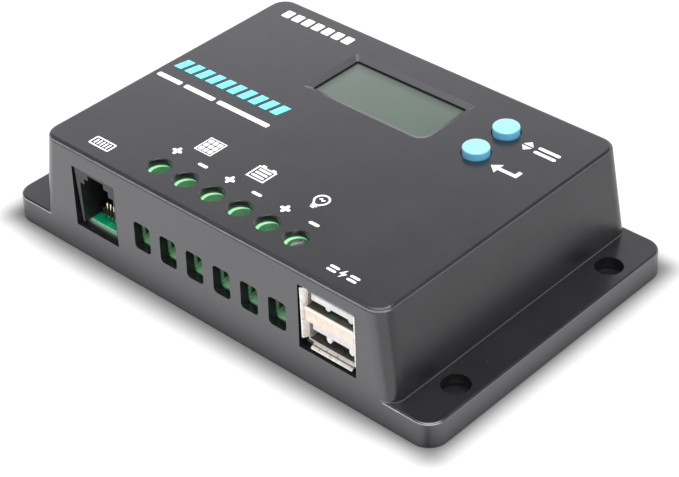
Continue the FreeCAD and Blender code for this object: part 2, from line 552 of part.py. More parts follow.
pcb_cuts.append(box(25.8, 27.2, 1.8, 3.7, Z_PCB0 - 1, Z_PCB1 + 1))
save("crystal", rbox(-3.5, 0.0, 22.0, 27.0, Z_PCB1 + 0.05, Z_PCB1 + 3.4, 1.2))
chips = []
for k in range(6):
    for j in range(2):
        x, y = 12.0 + 2.2 * k, 20.0 + 4.0 * j
        if x > 22.5:
            continue
        chips.append(box(x - 0.6, x + 0.6, y - 1.0, y + 1.0, Z_PCB1, Z_PCB1 + 0.6))
save("chip_resistors", *chips)
relay = rbox(33.0, 44.0, 13.0, 24.5, Z_PCB1, Z_PCB1 + 10.0, 0.6)
save("inductor_block", relay)

for c in pcb_cuts + usb_feet:
    pcb = pcb.cut(c)
save("circuit_board", pcb)
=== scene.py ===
import json
import math
import bpy
import bmesh
from mathutils import Matrix, Vector


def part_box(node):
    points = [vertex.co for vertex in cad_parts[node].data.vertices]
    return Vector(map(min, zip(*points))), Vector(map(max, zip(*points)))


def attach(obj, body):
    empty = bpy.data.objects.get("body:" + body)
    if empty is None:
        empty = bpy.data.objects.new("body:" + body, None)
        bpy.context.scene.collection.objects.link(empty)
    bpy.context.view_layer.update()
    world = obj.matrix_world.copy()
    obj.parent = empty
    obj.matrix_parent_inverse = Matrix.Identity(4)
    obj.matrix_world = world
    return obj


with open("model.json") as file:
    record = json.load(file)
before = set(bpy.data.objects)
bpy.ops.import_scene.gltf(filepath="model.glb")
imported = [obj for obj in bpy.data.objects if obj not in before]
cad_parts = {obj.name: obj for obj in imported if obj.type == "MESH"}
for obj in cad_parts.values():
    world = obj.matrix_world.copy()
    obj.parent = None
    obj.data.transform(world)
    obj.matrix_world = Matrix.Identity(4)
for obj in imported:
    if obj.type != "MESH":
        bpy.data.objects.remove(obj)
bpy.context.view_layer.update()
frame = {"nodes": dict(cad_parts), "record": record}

scene = bpy.context.scene
MM = 0.001
LO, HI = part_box("housing")
TOP = HI.z                      # plane of the printed top face, metres

# ------------------------------------------------------------------ camera
FOCAL_PX = 2018.824
SENSOR = 36.0
CAM_ROT = (2.095242712005482, 0.7974976098913501, -0.4535927207069515)
CAM_T = (-1.5750139916153931, 1.046230494326286, 427.08436462884737)
CENTRE_PX = (339.42359, 234.36759)


def look_rotation(r):
    th = math.sqrt(sum(c * c for c in r))
    return Matrix.Rotation(th, 3, Vector([c / th for c in r]))


Rw = look_rotation(CAM_ROT)                       # rows: right, down, forward
cam_pos = -(Rw.transposed() @ Vector(CAM_T)) * MM
right, down, fwd = Rw[0].copy(), Rw[1].copy(), Rw[2].copy()
cam_data = bpy.data.cameras.new("view_camera")
cam_data.sensor_width = SENSOR
cam_data.sensor_fit = "HORIZONTAL"
cam_data.lens = FOCAL_PX * SENSOR / 679.0
cam_data.shift_x = (679 / 2 - CENTRE_PX[0]) / 679.0
cam_data.shift_y = (CENTRE_PX[1] - 477 / 2) / 679.0
cam_data.clip_start = 0.01
cam_data.clip_end = 20.0
cam_data.dof.use_dof = False
cam = bpy.data.objects.new("view_camera", cam_data)
scene.collection.objects.link(cam)
cam.matrix_world = Matrix((
    (right.x, -down.x, -fwd.x, cam_pos.x),
    (right.y, -down.y, -fwd.y, cam_pos.y),
    (right.z, -down.z, -fwd.z, cam_pos.z),
    (0, 0, 0, 1)))
scene.camera = cam
scene.view_settings.view_transform = "Standard"
scene.view_settings.look = "None"


# --------------------------------------------------------------- materials
def lin(*rgb):
    """sRGB 0-255 to linear RGBA."""
    out = []
    for c in rgb:
        c = c / 255.0
        out.append(c / 12.92 if c <= 0.04045 else ((c + 0.055) / 1.055) ** 2.4)
    return (*out, 1.0)


class Mat:
    """A principled material whose colour, roughness and bump come from noise in object space (metres)."""

    def __init__(self, name, rough=0.4, metallic=0.0, spec=0.5, ior=1.5):
        self.m = bpy.data.materials.new(name)
        self.m.use_nodes = True
        self.t = self.m.node_tree
        self.t.nodes.clear()
        self.out = self.t.nodes.new("ShaderNodeOutputMaterial")
        self.b = self.t.nodes.new("ShaderNodeBsdfPrincipled")
        self.t.links.new(self.b.outputs["BSDF"], self.out.inputs["Surface"])
        self.tc = self.t.nodes.new("ShaderNodeTexCoord")
        self.b.inputs["Roughness"].default_value = rough
        self.b.inputs["Metallic"].default_value = metallic
        self.b.inputs["Specular IOR Level"].default_value = spec
        self.b.inputs["IOR"].default_value = ior
        self.h = None
        self.geo = None

    def set(self, **kw):
        for k, v in kw.items():
            self.b.inputs[k.replace("_", " ")].default_value = v
        return self

    def node(self, kind, **inputs):
        n = self.t.nodes.new(kind)
        for k, v in inputs.items():
            n.inputs[k.replace("_", " ")].default_value = v
        return n

    def vec(self, scale=(1, 1, 1), rot=(0, 0, 0), loc=(0, 0, 0)):
        mp = self.t.nodes.new("ShaderNodeMapping")
        mp.inputs["Scale"].default_value = scale
        mp.inputs["Rotation"].default_value = rot
        mp.inputs["Location"].default_value = loc
        self.t.links.new(self.tc.outputs["Object"], mp.inputs["Vector"])
        return mp.outputs["Vector"]

    def noise(self, size_mm, detail=3.0, rough=0.55, stretch=(1, 1, 1), loc=(0, 0, 0)):
        n = self.node("ShaderNodeTexNoise", Scale=1000.0 / size_mm, Detail=detail, Roughness=rough)
        self.t.links.new(self.vec(stretch, loc=loc), n.inputs["Vector"])
        return n.outputs["Fac"]

    def voronoi(self, size_mm, feature="F1", randomness=1.0, stretch=(1, 1, 1)):
        n = self.t.nodes.new("ShaderNodeTexVoronoi")
        n.feature = feature
        n.inputs["Scale"].default_value = 1000.0 / size_mm
        n.inputs["Randomness"].default_value = randomness
        self.t.links.new(self.vec(stretch), n.inputs["Vector"])
        return n.outputs["Distance"]

    def axis(self, which):
        s = self.t.nodes.new("ShaderNodeSeparateXYZ")
        self.t.links.new(self.tc.outputs["Object"], s.inputs["Vector"])
        return s.outputs[which]

    def normal_axis(self, which):
        g = self.t.nodes.new("ShaderNodeNewGeometry")
        s = self.t.nodes.new("ShaderNodeSeparateXYZ")
        self.t.links.new(g.outputs["Normal"], s.inputs["Vector"])
        return s.outputs[which]

    def rng(self, src, a, b, lo=0.0, hi=1.0, smooth=True):
        n = self.t.nodes.new("ShaderNodeMapRange")
        n.interpolation_type = "SMOOTHSTEP" if smooth else "LINEAR"
        n.inputs["From Min"].default_value = a
        n.inputs["From Max"].default_value = b
        n.inputs["To Min"].default_value = lo
        n.inputs["To Max"].default_value = hi
        self.t.links.new(src, n.inputs["Value"])
        return n.outputs["Result"]

    def math(self, op, a, b=None, clamp=False):
        n = self.t.nodes.new("ShaderNodeMath")
        n.operation = op
        n.use_clamp = clamp
        for i, v in enumerate((a, b)):
            if v is None:
                continue
            if isinstance(v, (int, float)):
                n.inputs[i].default_value = v
            else:
                self.t.links.new(v, n.inputs[i])
        return n.outputs[0]

    def mix(self, fac, a, b, blend="MIX"):
        n = self.t.nodes.new("ShaderNodeMix")
        n.data_type = "RGBA"
        n.blend_type = blend
        for sock, v in ((n.inputs[0], fac), (n.inputs[6], a), (n.inputs[7], b)):
            if isinstance(v, (int, float)):
                sock.default_value = v
            elif isinstance(v, (tuple, list)):
                sock.default_value = v
            else:
                self.t.links.new(v, sock)
        return n.outputs[2]

    def color(self, c):
        if isinstance(c, tuple):
            self.b.inputs["Base Color"].default_value = c
        else:
            self.t.links.new(c, self.b.inputs["Base Color"])
        return self

    def rough(self, src):
        self.t.links.new(src, self.b.inputs["Roughness"])
        return self

    def metal(self, src):
        self.t.links.new(src, self.b.inputs["Metallic"])
        return self

    def bump(self, src, dist_mm, strength=1.0):
        n = self.t.nodes.new("ShaderNodeBump")
        n.inputs["Strength"].default_value = strength
        n.inputs["Distance"].default_value = dist_mm * MM
        self.t.links.new(src, n.inputs["Height"])
        if self.h is not None:
            self.t.links.new(self.h, n.inputs["Normal"])
        self.h = n.outputs["Normal"]
        self.t.links.new(self.h, self.b.inputs["Normal"])
        return self


def plastic(name, c_lo, c_hi, rough=(0.34, 0.46), grain=0.35, grain_h=0.004, mottle=9.0, spec=0.5, sss=0.0, coat=0.0,
            speck=None, wave=0.0):
    """Moulded plastic: slow colour drift, fine spark-eroded grain, faint flow waviness, optional dust specks."""
    m = Mat(name, spec=spec)
    drift = m.noise(mottle, 4.0)
    fine = m.noise(grain * 1.6, 2.0)
    col = m.mix(m.rng(drift, 0.3, 0.7), c_lo, c_hi)
    col = m.mix(m.rng(fine, 0.35, 0.75, 0.0, 0.35), col, c_hi)
    if speck:
        d = m.noise(speck[0], 1.0, 0.4, loc=(0.3, 0.1, 0.2))
        col = m.mix(m.rng(d, 0.74, 0.80, 0.0, speck[1]), col, speck[2])
    m.color(col)
    m.rough(m.rng(m.noise(mottle * 0.55, 5.0, 0.6, loc=(0.11, 0.2, 0.05)), 0.25, 0.75, rough[0], rough[1], False))
    if wave:
        m.bump(m.noise(14.0, 1.0), wave)
    m.bump(m.voronoi(grain, "F1"), grain_h)
    m.bump(fine, grain_h * 0.8)
    if sss:
        m.set(Subsurface_Weight=sss, Subsurface_Scale=0.0012)
        m.b.inputs["Subsurface Radius"].default_value = (1.0, 0.8, 0.6)
    if coat:
        m.set(Coat_Weight=coat, Coat_Roughness=0.08)
    return m.m


def metal(name, c_lo, c_hi, rough=(0.22, 0.4), brush=None, pit=0.0, tarnish=None, scale=1.2):
    """Plated metal: brushed or stamped grain, slight tarnish, roughness that varies."""
    m = Mat(name, metallic=1.0)
    stretch = brush or (1, 1, 1)
    g = m.noise(scale, 6.0, 0.65, stretch)
    col = m.mix(m.rng(g, 0.25, 0.75), c_lo, c_hi)
    if tarnish:
        t = m.noise(3.5, 5.0, 0.6, loc=(0.4, 0.2, 0.9))
        col = m.mix(m.rng(t, 0.5, 0.85, 0.0, tarnish[0]), col, tarnish[1])
    m.color(col)
    m.rough(m.rng(m.noise(scale * 0.6, 4.0, 0.6, stretch, (0.1, 0.2, 0.3)), 0.2, 0.8, rough[0], rough[1], False))
    m.bump(g, 0.003)
    if pit:
        m.bump(m.noise(0.25, 2.0), pit)
    return m.m


def case_material():
    """Charcoal case: fine spark-eroded grain, faint flow drift, dust, a painted highlight along the moulded edges,
    and painted light on the front wall, the flange sides, the flange joint and the window bevel.
    """
    m = Mat("case_moulded_charcoal", spec=0.8)
    drift = m.noise(16.0, 5.0, 0.55)
    fine = m.noise(0.5, 3.0, 0.6)
    col = m.mix(m.rng(drift, 0.3, 0.7), lin(22, 22, 24), lin(28, 28, 30))
    col = m.mix(m.rng(fine, 0.35, 0.8, 0.0, 0.30), col, lin(44, 44, 47))
    dust = m.noise(0.9, 2.0, 0.5, loc=(0.31, 0.12, 0.27))
    col = m.mix(m.rng(dust, 0.73, 0.80, 0.0, 0.16), col, lin(110, 108, 104))
    nz, z = m.normal_axis("Z"), m.axis("Z")
    # painted highlight: a pale band across the rounded rims of the top and the flange, broken up by noise
    band = m.math("MULTIPLY", m.rng(nz, 0.26, 0.38), m.rng(nz, 0.70, 0.58))
    ax, ay = m.math("ABSOLUTE", m.axis("X")), m.math("ABSOLUTE", m.axis("Y"))
    rim = m.math("MAXIMUM", m.rng(ax, 0.0440, 0.0446), m.rng(ay, 0.0335, 0.0341))
    rim = m.math("MULTIPLY", rim, m.math("MAXIMUM", m.rng(z, 0.0240, 0.0244), m.rng(z, 0.0062, 0.0058)))
    highlight_breakup = m.rng(m.noise(2.2, 4.0, 0.6), 0.2, 0.75, 0.55, 1.0)
    edge = m.math("MULTIPLY", m.math("MULTIPLY", band, rim), highlight_breakup)
    # painted highlight: the sloped bevel round the display window is given a paler grey than the top
    tilt = m.math("MULTIPLY", m.rng(nz, 0.80, 0.87), m.rng(nz, 0.96, 0.93))
    inner = m.math("MULTIPLY", m.rng(ax, 0.0190, 0.0185), m.math("MULTIPLY", m.rng(m.axis("Y"), 0.0105, 0.0110), m.rng(m.axis("Y"), 0.0292, 0.0288)))
    bevel_highlight = m.math("MULTIPLY", m.math("MULTIPLY", tilt, inner), m.rng(z, 0.0250, 0.0252))
    ny, nx = m.normal_axis("Y"), m.normal_axis("X")
    # painted light: the long front wall is given a paler grey, standing in for the light it catches from the floor
    front_wall_light = m.math("MULTIPLY", m.rng(ny, -0.80, -0.97), m.rng(m.math("ABSOLUTE", nz), 0.35, 0.15))
    front_wall_light = m.math("MULTIPLY", front_wall_light, m.math("MULTIPLY", m.rng(m.axis("Y"), -0.0350, -0.0355), m.rng(z, 0.02490, 0.02470)))
    col = m.mix(m.math("MULTIPLY", front_wall_light, 0.9), col, lin(70, 70, 73))
    # painted light: the flange's end sides are given a paler grey than the walls above
    painted_side_shading = m.math("MULTIPLY", m.rng(m.math("ABSOLUTE", nx), 0.50, 0.85), m.rng(z, 0.00540, 0.00515))
    painted_side_shading = m.math("MULTIPLY", painted_side_shading, m.rng(ax, 0.0576, 0.0583))
    col = m.mix(m.math("MULTIPLY", painted_side_shading, 0.85), col, lin(60, 60, 63))
    # the painted highlight is strongest on front faces and near-white on the flange's front edge
    low = m.rng(z, 0.0062, 0.0058)
    frontal = m.rng(ny, -0.10, -0.40, 0.12, 1.0)
    edge = m.math("MULTIPLY", edge, frontal)
    highlight_tint = m.mix(m.math("MULTIPLY", low, frontal), lin(128, 128, 132), lin(196, 196, 200))
    col = m.mix(m.math("MULTIPLY", edge, 0.85), col, highlight_tint)
    col = m.mix(bevel_highlight, col, lin(64, 64, 67))
    # painted highlight: a pale line where the flange meets the end walls
    junction_highlight = m.math("MULTIPLY", m.rng(z, 0.00580, 0.00570), m.rng(z, 0.00542, 0.00548))
    junction_highlight = m.math("MULTIPLY", junction_highlight, m.rng(m.math("ABSOLUTE", nz), 0.80, 0.60))
    junction_highlight = m.math("MULTIPLY", junction_highlight, m.math("MULTIPLY", m.rng(ax, 0.0465, 0.0470), m.rng(ax, 0.0520, 0.0512)))
    col = m.mix(m.math("MULTIPLY", junction_highlight, 0.75), col, lin(104, 104, 108))
    m.color(col)
    base = m.rng(m.noise(7.0, 6.0, 0.62, loc=(0.1, 0.22, 0.05)), 0.25, 0.75, 0.19, 0.25, False)
    # the drafted end walls are matter than the top and the long walls
    ends = m.math("MULTIPLY", m.rng(m.math("ABSOLUTE", nx), 0.80, 0.93), m.rng(z, 0.0052, 0.0060))
    # the rounded rim is duller than the flat top, so lamps smear out along it
    turn = m.math("MULTIPLY", m.math("MULTIPLY", m.rng(nz, 0.30, 0.45), m.rng(nz, 0.985, 0.955)), m.rng(z, 0.0236, 0.0240))
    turn = m.math("MULTIPLY", turn, m.rng(ny, -0.05, -0.22))
    dull = m.math("ADD", m.math("MULTIPLY", ends, 0.34), m.math("MULTIPLY", turn, 0.32))
    m.t.links.new(m.math("SUBTRACT", 0.8, dull), m.b.inputs["Specular IOR Level"])
    m.rough(m.math("ADD", m.math("ADD", base, m.math("MULTIPLY", turn, 0.20)), m.math("MULTIPLY", ends, 0.12)))
    m.bump(m.noise(18.0, 1.0), 0.03)
    m.bump(m.voronoi(0.32, "F1"), 0.0035)
    m.bump(fine, 0.003)
    return m.m


def board_material():
    """Green solder mask over copper tracks, with vias."""
    m = Mat("board_solder_mask", rough=0.28, spec=0.5)
    x, y = m.axis("X"), m.axis("Y")
    tracks = m.voronoi(3.1, "DISTANCE_TO_EDGE", 0.35, (1, 0.45, 0))
    track = m.rng(tracks, 0.06, 0.09)
    wob = m.noise(6.0, 3.0)
    mask = m.mix(m.rng(wob, 0.3, 0.7), lin(4, 190, 128), lin(14, 202, 140))
    mask = m.mix(track, mask, lin(0, 172, 114))
    dots = m.voronoi(2.6, "F1", 0.8, (1, 1, 0))
    pad = m.rng(dots, 0.11, 0.09)
    mask = m.mix(pad, mask, lin(196, 190, 170))
    # cut edge of the laminate: glass and resin layers
    nz = m.math("ABSOLUTE", m.normal_axis("Z"))
    edge = m.rng(nz, 0.6, 0.3)
    layers = m.noise(0.35, 2.0, 0.5, (0.08, 0.08, 1))
    lam = m.mix(m.rng(layers, 0.35, 0.65), lin(160, 214, 182), lin(190, 228, 204))
    m.color(m.mix(edge, mask, lam))
    m.metal(m.math("MULTIPLY", pad, m.rng(nz, 0.3, 0.6)))
    m.rough(m.rng(wob, 0.2, 0.8, 0.20, 0.36, False))
    m.bump(track, 0.03)
    m.bump(m.noise(0.8, 2.0), 0.004)
    m.set(Coat_Weight=0.35, Coat_Roughness=0.12)
    return m.m


def display_material():
    """Liquid crystal glass, switched off: grey-green polariser behind a clear front."""
    m = Mat("display_polariser_glass", rough=0.2, spec=0.5)
    sweep = m.rng(m.axis("X"), -0.0180, 0.0165, 0.0, 1.0, False)
    cloud = m.noise(11.0, 3.0, 0.5)
    base = m.mix(sweep, lin(70, 82, 72), lin(55, 74, 61))
    base = m.mix(m.rng(cloud, 0.2, 0.8, 0.0, 0.18), base, lin(84, 96, 86))
    # painted shade: the glass darkens along the back and left edges of the window, under the bevel
    shade = m.math("MAXIMUM", m.rng(m.axis("Y"), 0.0238, 0.0269), m.rng(m.axis("X"), -0.0133, -0.0160))
    base = m.mix(m.math("MULTIPLY", shade, 0.74), base, lin(34, 38, 35))
    # faint resting segment grid seen in the glass at low contrast
    pix = m.t.nodes.new("ShaderNodeTexBrick")
    pix.offset = 0.0
    pix.inputs["Scale"].default_value = 1000.0
    pix.inputs["Brick Width"].default_value = 0.62
    pix.inputs["Row Height"].default_value = 0.62
    pix.inputs["Mortar Size"].default_value = 0.035
    pix.inputs["Color1"].default_value = (1, 1, 1, 1)
    pix.inputs["Color2"].default_value = (1, 1, 1, 1)
    pix.inputs["Mortar"].default_value = (0.965, 0.97, 0.965, 1)
    m.t.links.new(m.tc.outputs["Object"], pix.inputs["Vector"])
    m.color(m.mix(1.0, base, pix.outputs["Color"], "MULTIPLY"))
    m.rough(m.rng(cloud, 0.2, 0.8, 0.16, 0.24, False))
    m.bump(m.noise(0.35, 2.0), 0.0008)
    m.set(Coat_Weight=0.6, Coat_Roughness=0.06)
    return m.m


def button_material():
    m = Mat("button_sky_blue", rough=0.38, spec=0.45)
    drift = m.noise(3.5, 4.0)
    fine = m.noise(0.3, 2.0)
    col = m.mix(m.rng(drift, 0.3, 0.7), lin(128, 188, 206), lin(136, 194, 210))
    col = m.mix(m.rng(fine, 0.4, 0.8, 0.0, 0.25), col, lin(152, 204, 218))
    # painted shade: the sloped sides of the buttons are darker and bluer than the tops
    painted_side_shading = m.rng(m.normal_axis("Z"), 0.75, 0.35)
    col = m.mix(m.math("MULTIPLY", painted_side_shading, 0.8), col, lin(108, 190, 226))
    m.color(col)
    m.rough(m.rng(m.noise(1.3, 4.0), 0.25, 0.75, 0.32, 0.44, False))
    m.bump(m.voronoi(0.22, "F1"), 0.0025)
    m.bump(fine, 0.002)
    m.set(Subsurface_Weight=0.25, Subsurface_Scale=0.0012)
    m.b.inputs["Subsurface Radius"].default_value = (0.5, 0.9, 1.0)
    return m.m


def ink(name, c_lo, c_hi):
    """Pad-printed ink: slightly uneven cover, satin, a hint of the grain under it."""
    m = Mat(name, rough=0.5, spec=0.4)
    cover = m.noise(0.55, 4.0, 0.6)
    m.color(m.mix(m.rng(cover, 0.3, 0.7), c_lo, c_hi))
    m.rough(m.rng(m.noise(0.8, 3.0), 0.2, 0.8, 0.42, 0.56, False))
    m.bump(m.voronoi(0.3, "F1"), 0.002)
    return m.m


def winding_material():
    m = Mat("enamelled_copper", metallic=1.0)
    g = m.noise(2.0, 4.0)
    m.color(m.mix(m.rng(g, 0.3, 0.7), lin(176, 96, 52), lin(208, 128, 74)))
    m.rough(m.rng(m.noise(0.7, 3.0), 0.2, 0.8, 0.18, 0.32, False))
    m.bump(g, 0.004)
    m.set(Coat_Weight=0.6, Coat_Roughness=0.1)
    return m.m


def sleeve_material():
    """Printed heat-shrink sleeve with a pale polarity stripe, bare aluminium on the crimped top."""
    m = Mat("capacitor_sleeve", rough=0.35)
    nz = m.rng(m.normal_axis("Z"), 0.7, 0.85)
    g = m.noise(2.5, 4.0)
    sleeve = m.mix(m.rng(g, 0.3, 0.7), lin(34, 38, 66), lin(44, 48, 80))
    stripe = m.rng(m.normal_axis("Y"), 0.86, 0.9)
    sleeve = m.mix(stripe, sleeve, lin(186, 190, 196))
    m.color(m.mix(nz, sleeve, lin(196, 198, 202)))
    m.metal(nz)
    m.rough(m.rng(g, 0.2, 0.8, 0.26, 0.42, False))
    m.bump(m.noise(0.6, 3.0), 0.004)
    return m.m


def terminal_material():
    """Glossy green terminal block; painted shade darkens the wire mouths and screw wells with depth, and painted
    highlights make the sills and ribs pale.
    """
    m = Mat("terminal_green", rough=0.3, spec=0.5)
    drift, fine = m.noise(4.0, 4.0), m.noise(0.48, 2.0)
    col = m.mix(m.rng(drift, 0.3, 0.7), lin(132, 214, 150), lin(158, 230, 172))
    col = m.mix(m.rng(fine, 0.4, 0.75, 0.0, 0.3), col, lin(172, 236, 184))
    nz, y, z = m.normal_axis("Z"), m.axis("Y"), m.axis("Z")
    upright = m.rng(m.math("ABSOLUTE", nz), 0.35, 0.20)
    mouth = m.rng(z, 0.0178, 0.0170)
    # painted shade: deep in the wire mouths the upright faces go near black-green
    painted_deep_shade = m.math("MULTIPLY", m.math("MULTIPLY", upright, mouth), m.rng(y, -0.03328, -0.03312))
    # painted highlight: a pale green band on the rib at the slot mouth
    rib_highlight = m.math("MULTIPLY", m.math("MULTIPLY", upright, mouth), m.math("MULTIPLY", m.rng(y, -0.03372, -0.03366), m.rng(y, -0.03342, -0.03348)))
    col = m.mix(m.math("MULTIPLY", rib_highlight, 0.5), col, lin(186, 252, 200))
    col = m.mix(m.math("MULTIPLY", painted_deep_shade, 0.9), col, lin(10, 34, 20))
    # painted highlight: the upward faces of the slot sills are pale green
    sill_highlight = m.math("MULTIPLY", m.rng(nz, 0.4, 0.6), m.rng(z, 0.0112, 0.0108))
    col = m.mix(m.math("MULTIPLY", sill_highlight, 0.8), col, lin(186, 252, 200))
    # painted shade: the upright walls of the screw wells are darker green
    well_shade = m.math("MULTIPLY", m.math("MULTIPLY", upright, m.rng(z, 0.0185, 0.0190)), m.rng(y, -0.0340, -0.0336))
    col = m.mix(m.math("MULTIPLY", well_shade, 0.5), col, lin(28, 74, 42))
    m.color(col)
    m.rough(m.rng(m.noise(2.2, 5.0, 0.6), 0.25, 0.75, 0.26, 0.38, False))
    m.bump(m.voronoi(0.3, "F1"), 0.003)
    m.bump(fine, 0.0024)
    m.set(Subsurface_Weight=0.3, Subsurface_Scale=0.0012)
    m.b.inputs["Subsurface Radius"].default_value = (0.7, 1.0, 0.7)
    return m.m


def port_material(name, c_lo, c_hi, plated):
    """Port shell and insulator: clean outside; painted shade in dark browns and greens on the upward faces inside the
    bays.
    """
    m = Mat(name, metallic=1.0 if plated else 0.0, rough=0.3)
    g = m.noise(1.4, 4.0, 0.6)
    col = m.mix(m.rng(g, 0.3, 0.7), c_lo, c_hi)
    nz, y = m.normal_axis("Z"), m.axis("Y")
    # painted shade: upward faces deep inside the bays are coloured dark brown and green, and the shell there loses
    # its metal
    painted_deep_shade = m.math("MULTIPLY", m.rng(nz, 0.85, 0.93), m.rng(y, -0.03555 if plated else -0.03600, -0.03535 if plated else -0.03575))
    # painted shade: a dark band in the crease of the shell's folded lip
    fold = m.math("MULTIPLY", m.math("MULTIPLY", m.rng(nz, 0.6, 0.8), m.rng(y, -0.03605, -0.03595)), m.rng(y, -0.03572, -0.03582))
    deep_shade_tone = m.mix(m.rng(m.noise(2.6, 3.0, 0.6), 0.45, 0.6), lin(34, 28, 22), lin(18, 66, 44))
    deep_shade_tone = m.mix(m.rng(m.noise(1.9, 2.0, 0.5, loc=(0.2, 0.5, 0.1)), 0.55, 0.7), deep_shade_tone, lin(92, 72, 52))
    if plated:
        col = m.mix(m.math("MULTIPLY", fold, 0.85), col, lin(60, 50, 42))
    if not plated:
        # painted highlight: a near-white line along the insulator's top brink
        brink_highlight = m.math("MULTIPLY", m.rng(y, -0.03622, -0.03627), m.rng(m.axis("Z"), 0.01750, 0.01756))
        col = m.mix(m.math("MULTIPLY", brink_highlight, 0.9), col, lin(255, 254, 250))
    m.color(m.mix(m.math("MULTIPLY", painted_deep_shade, 0.94), col, deep_shade_tone))
    if plated:
        m.metal(m.math("MULTIPLY", m.math("SUBTRACT", 1.0, m.math("MULTIPLY", painted_deep_shade, 0.8)), 0.55))
    m.rough(m.rng(m.noise(0.9, 4.0), 0.2, 0.8, 0.24 if plated else 0.30, 0.34 if plated else 0.42, False))
    m.bump(g, 0.001)
    if not plated:
        m.set(Subsurface_Weight=0.2, Subsurface_Scale=0.0012)
    return m.m


WHITE_INK = ink("white_print_ink", lin(228, 228, 228), lin(250, 250, 250))
CYAN_INK = ink("cyan_print_ink", lin(84, 208, 228), lin(124, 228, 242))

SLOT_MATERIALS = {
    "case_plastic": case_material(),
    "plate_plastic": plastic("plate_moulded_black", lin(38, 38, 40), lin(48, 48, 50), (0.4, 0.55), 0.6, 0.008, 14.0,
                             speck=(1.4, 0.3, lin(96, 94, 92)), wave=0.04),
    "steel_zinc": metal("zinc_plated_steel", lin(176, 178, 176), lin(222, 222, 218), (0.2, 0.36), (1, 1, 1), 0.003,
                        (0.35, lin(150, 146, 120)), 0.8),
    "terminal_plastic": terminal_material(),
    "brass": metal("nickel_dulled_brass", lin(150, 134, 92), lin(196, 180, 132), (0.25, 0.42), None, 0.004,
                   (0.4, lin(110, 92, 60)), 0.9),
    "jack_plastic": plastic("jack_grey", lin(24, 24, 25), lin(34, 34, 36), (0.32, 0.44), 0.3, 0.003, 4.0),
    "gold_contact": metal("gold_plated_contact", lin(232, 214, 168), lin(252, 242, 212), (0.12, 0.24), (1, 0.15, 1), 0.0,
                          None, 0.4),
    "usb_steel": port_material("nickel_plated_shell", lin(226, 220, 210), lin(250, 244, 236), True),
    "usb_cream": port_material("port_insulator_cream", lin(236, 222, 204), lin(248, 236, 220), False),
    "usb_plastic": plastic("port_tongue_white", lin(236, 236, 236), lin(252, 252, 252), (0.24, 0.34), 0.3, 0.002, 3.0, sss=0.3),
    "display_glass": display_material(),
    "display_frame": plastic("display_frame_black", lin(14, 14, 15), lin(22, 22, 23), (0.4, 0.55), 0.4, 0.004, 5.0),
    "light_guide": plastic("light_guide_frosted", lin(206, 216, 208), lin(232, 238, 232), (0.3, 0.45), 0.4, 0.003, 5.0, sss=0.5),
    "button_plastic": button_material(),
    "switch_plastic": plastic("switch_black", lin(16, 16, 17), lin(26, 26, 27), (0.34, 0.5), 0.3, 0.003, 3.0),
    "board_laminate": board_material(),
    "tin": metal("tinned_metal", lin(188, 190, 192), lin(226, 228, 230), (0.18, 0.34), None, 0.003, (0.3, lin(150, 150, 148)), 0.7),
    "capacitor_can": sleeve_material(),
    "ferrite": plastic("ferrite_core", lin(34, 34, 36), lin(58, 58, 58), (0.5, 0.7), 0.25, 0.01, 2.0),
    "copper": winding_material(),
    "epoxy": plastic("moulded_epoxy", lin(22, 22, 24), lin(34, 34, 36), (0.4, 0.58), 0.25, 0.005, 3.0),
    "aluminium": metal("extruded_aluminium", lin(180, 184, 188), lin(214, 216, 220), (0.28, 0.44), (0.06, 1, 1), 0.002, None, 1.0),
    "chip_ceramic": plastic("fired_ceramic", lin(28, 28, 34), lin(50, 50, 58), (0.3, 0.5), 0.2, 0.003, 1.5),
}

for row in frame["record"]["subparts"]:
    obj = frame["nodes"].get(row["node"])
    if obj is None:
        continue
    mat = SLOT_MATERIALS[row["material_slot"]]
    if not obj.material_slots:
        obj.data.materials.append(mat)
    for s in obj.material_slots:
        s.material = mat

# ----------------------------------------------------- printed marks, as thin ink
INK_LO = TOP - 0.00003
INK_HI = TOP + 0.00003


def arc(cx, cy, r, a0, a1, n):
    return [(cx + r * math.cos(math.radians(a0 + (a1 - a0) * i / n)),
             cy + r * math.sin(math.radians(a0 + (a1 - a0) * i / n))) for i in range(n + 1)]


def circle(cx, cy, r, n=40):
    return arc(cx, cy, r, 0, 360, n)[:-1]


def rrect(x0, y0, x1, y1, r, n=6):
    return (arc(x1 - r, y1 - r, r, 0, 90, n) + arc(x0 + r, y1 - r, r, 90, 180, n)
            + arc(x0 + r, y0 + r, r, 180, 270, n) + arc(x1 - r, y0 + r, r, 270, 360, n))


def pill(x0, y0, x1, y1, w, n=8):
    a = math.degrees(math.atan2(y1 - y0, x1 - x0))
    return arc(x1, y1, w / 2, a - 90, a + 90, n) + arc(x0, y0, w / 2, a + 90, a + 270, n)


def plus(cx, cy, half, w):
    pts = []
    for k in range(4):
        c, s = math.cos(math.pi / 2 * k), math.sin(math.pi / 2 * k)
        part = arc(half - w / 2, 0, w / 2, -90, 90, 8) + [(w / 2, w / 2)]
        pts += [(cx + c * px - s * py, cy + s * px + c * py) for px, py in part]
    return pts


def stroke(points, w, n=6):
    """Outline of a round-ended polyline of width w (gentle turns only)."""
    left, rgt = [], []
    P = [Vector(p) for p in points]
    for i, p in enumerate(P):
        d0 = (P[i] - P[i - 1]).normalized() if i else (P[1] - P[0]).normalized()
        d1 = (P[i + 1] - P[i]).normalized() if i < len(P) - 1 else d0
        t = (d0 + d1).normalized()
        k = w / 2 / max(0.35, t.dot(d1))
        nrm = Vector((-t.y, t.x))
        left.append(p + nrm * k)
        rgt.append(p - nrm * k)
    a1 = math.degrees(math.atan2(*(P[-1] - P[-2]).yx))
    a0 = math.degrees(math.atan2(*(P[1] - P[0]).yx))
    end = arc(P[-1].x, P[-1].y, w / 2, a1 + 90, a1 - 90, n)
    start = arc(P[0].x, P[0].y, w / 2, a0 - 90, a0 - 270, n)
    return [tuple(q) for q in left[:-1]] + end + [tuple(q) for q in reversed(rgt[1:-1])] + start


